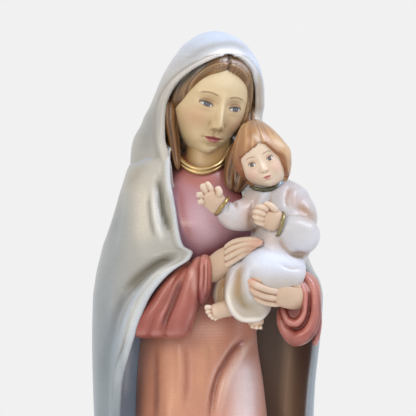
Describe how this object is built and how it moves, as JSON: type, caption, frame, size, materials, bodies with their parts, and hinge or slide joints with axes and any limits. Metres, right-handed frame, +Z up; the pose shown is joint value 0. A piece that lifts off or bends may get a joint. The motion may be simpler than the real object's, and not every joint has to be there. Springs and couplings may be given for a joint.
{
  "type": "virgin and child statue",
  "caption": "Carved and painted wooden statue of a standing mother in a long veil-mantle who holds a small blessing child on her left arm, on a low oval base",
  "frame": {"origin": "middle of the flat underside of the base", "axes": "+Z up along the standing figure, -Y the way the mother's chest faces, +X towards the arm that carries the child"},
  "size_m": [0.114, 0.0974, 0.3],
  "materials": {
    "painted_wood": "satin to glossy oil paint and varnish over carved wood"
  },
  "bodies": {
    "root": {"virgin_and_child": "painted_wood"}
  },
  "joints": []
}
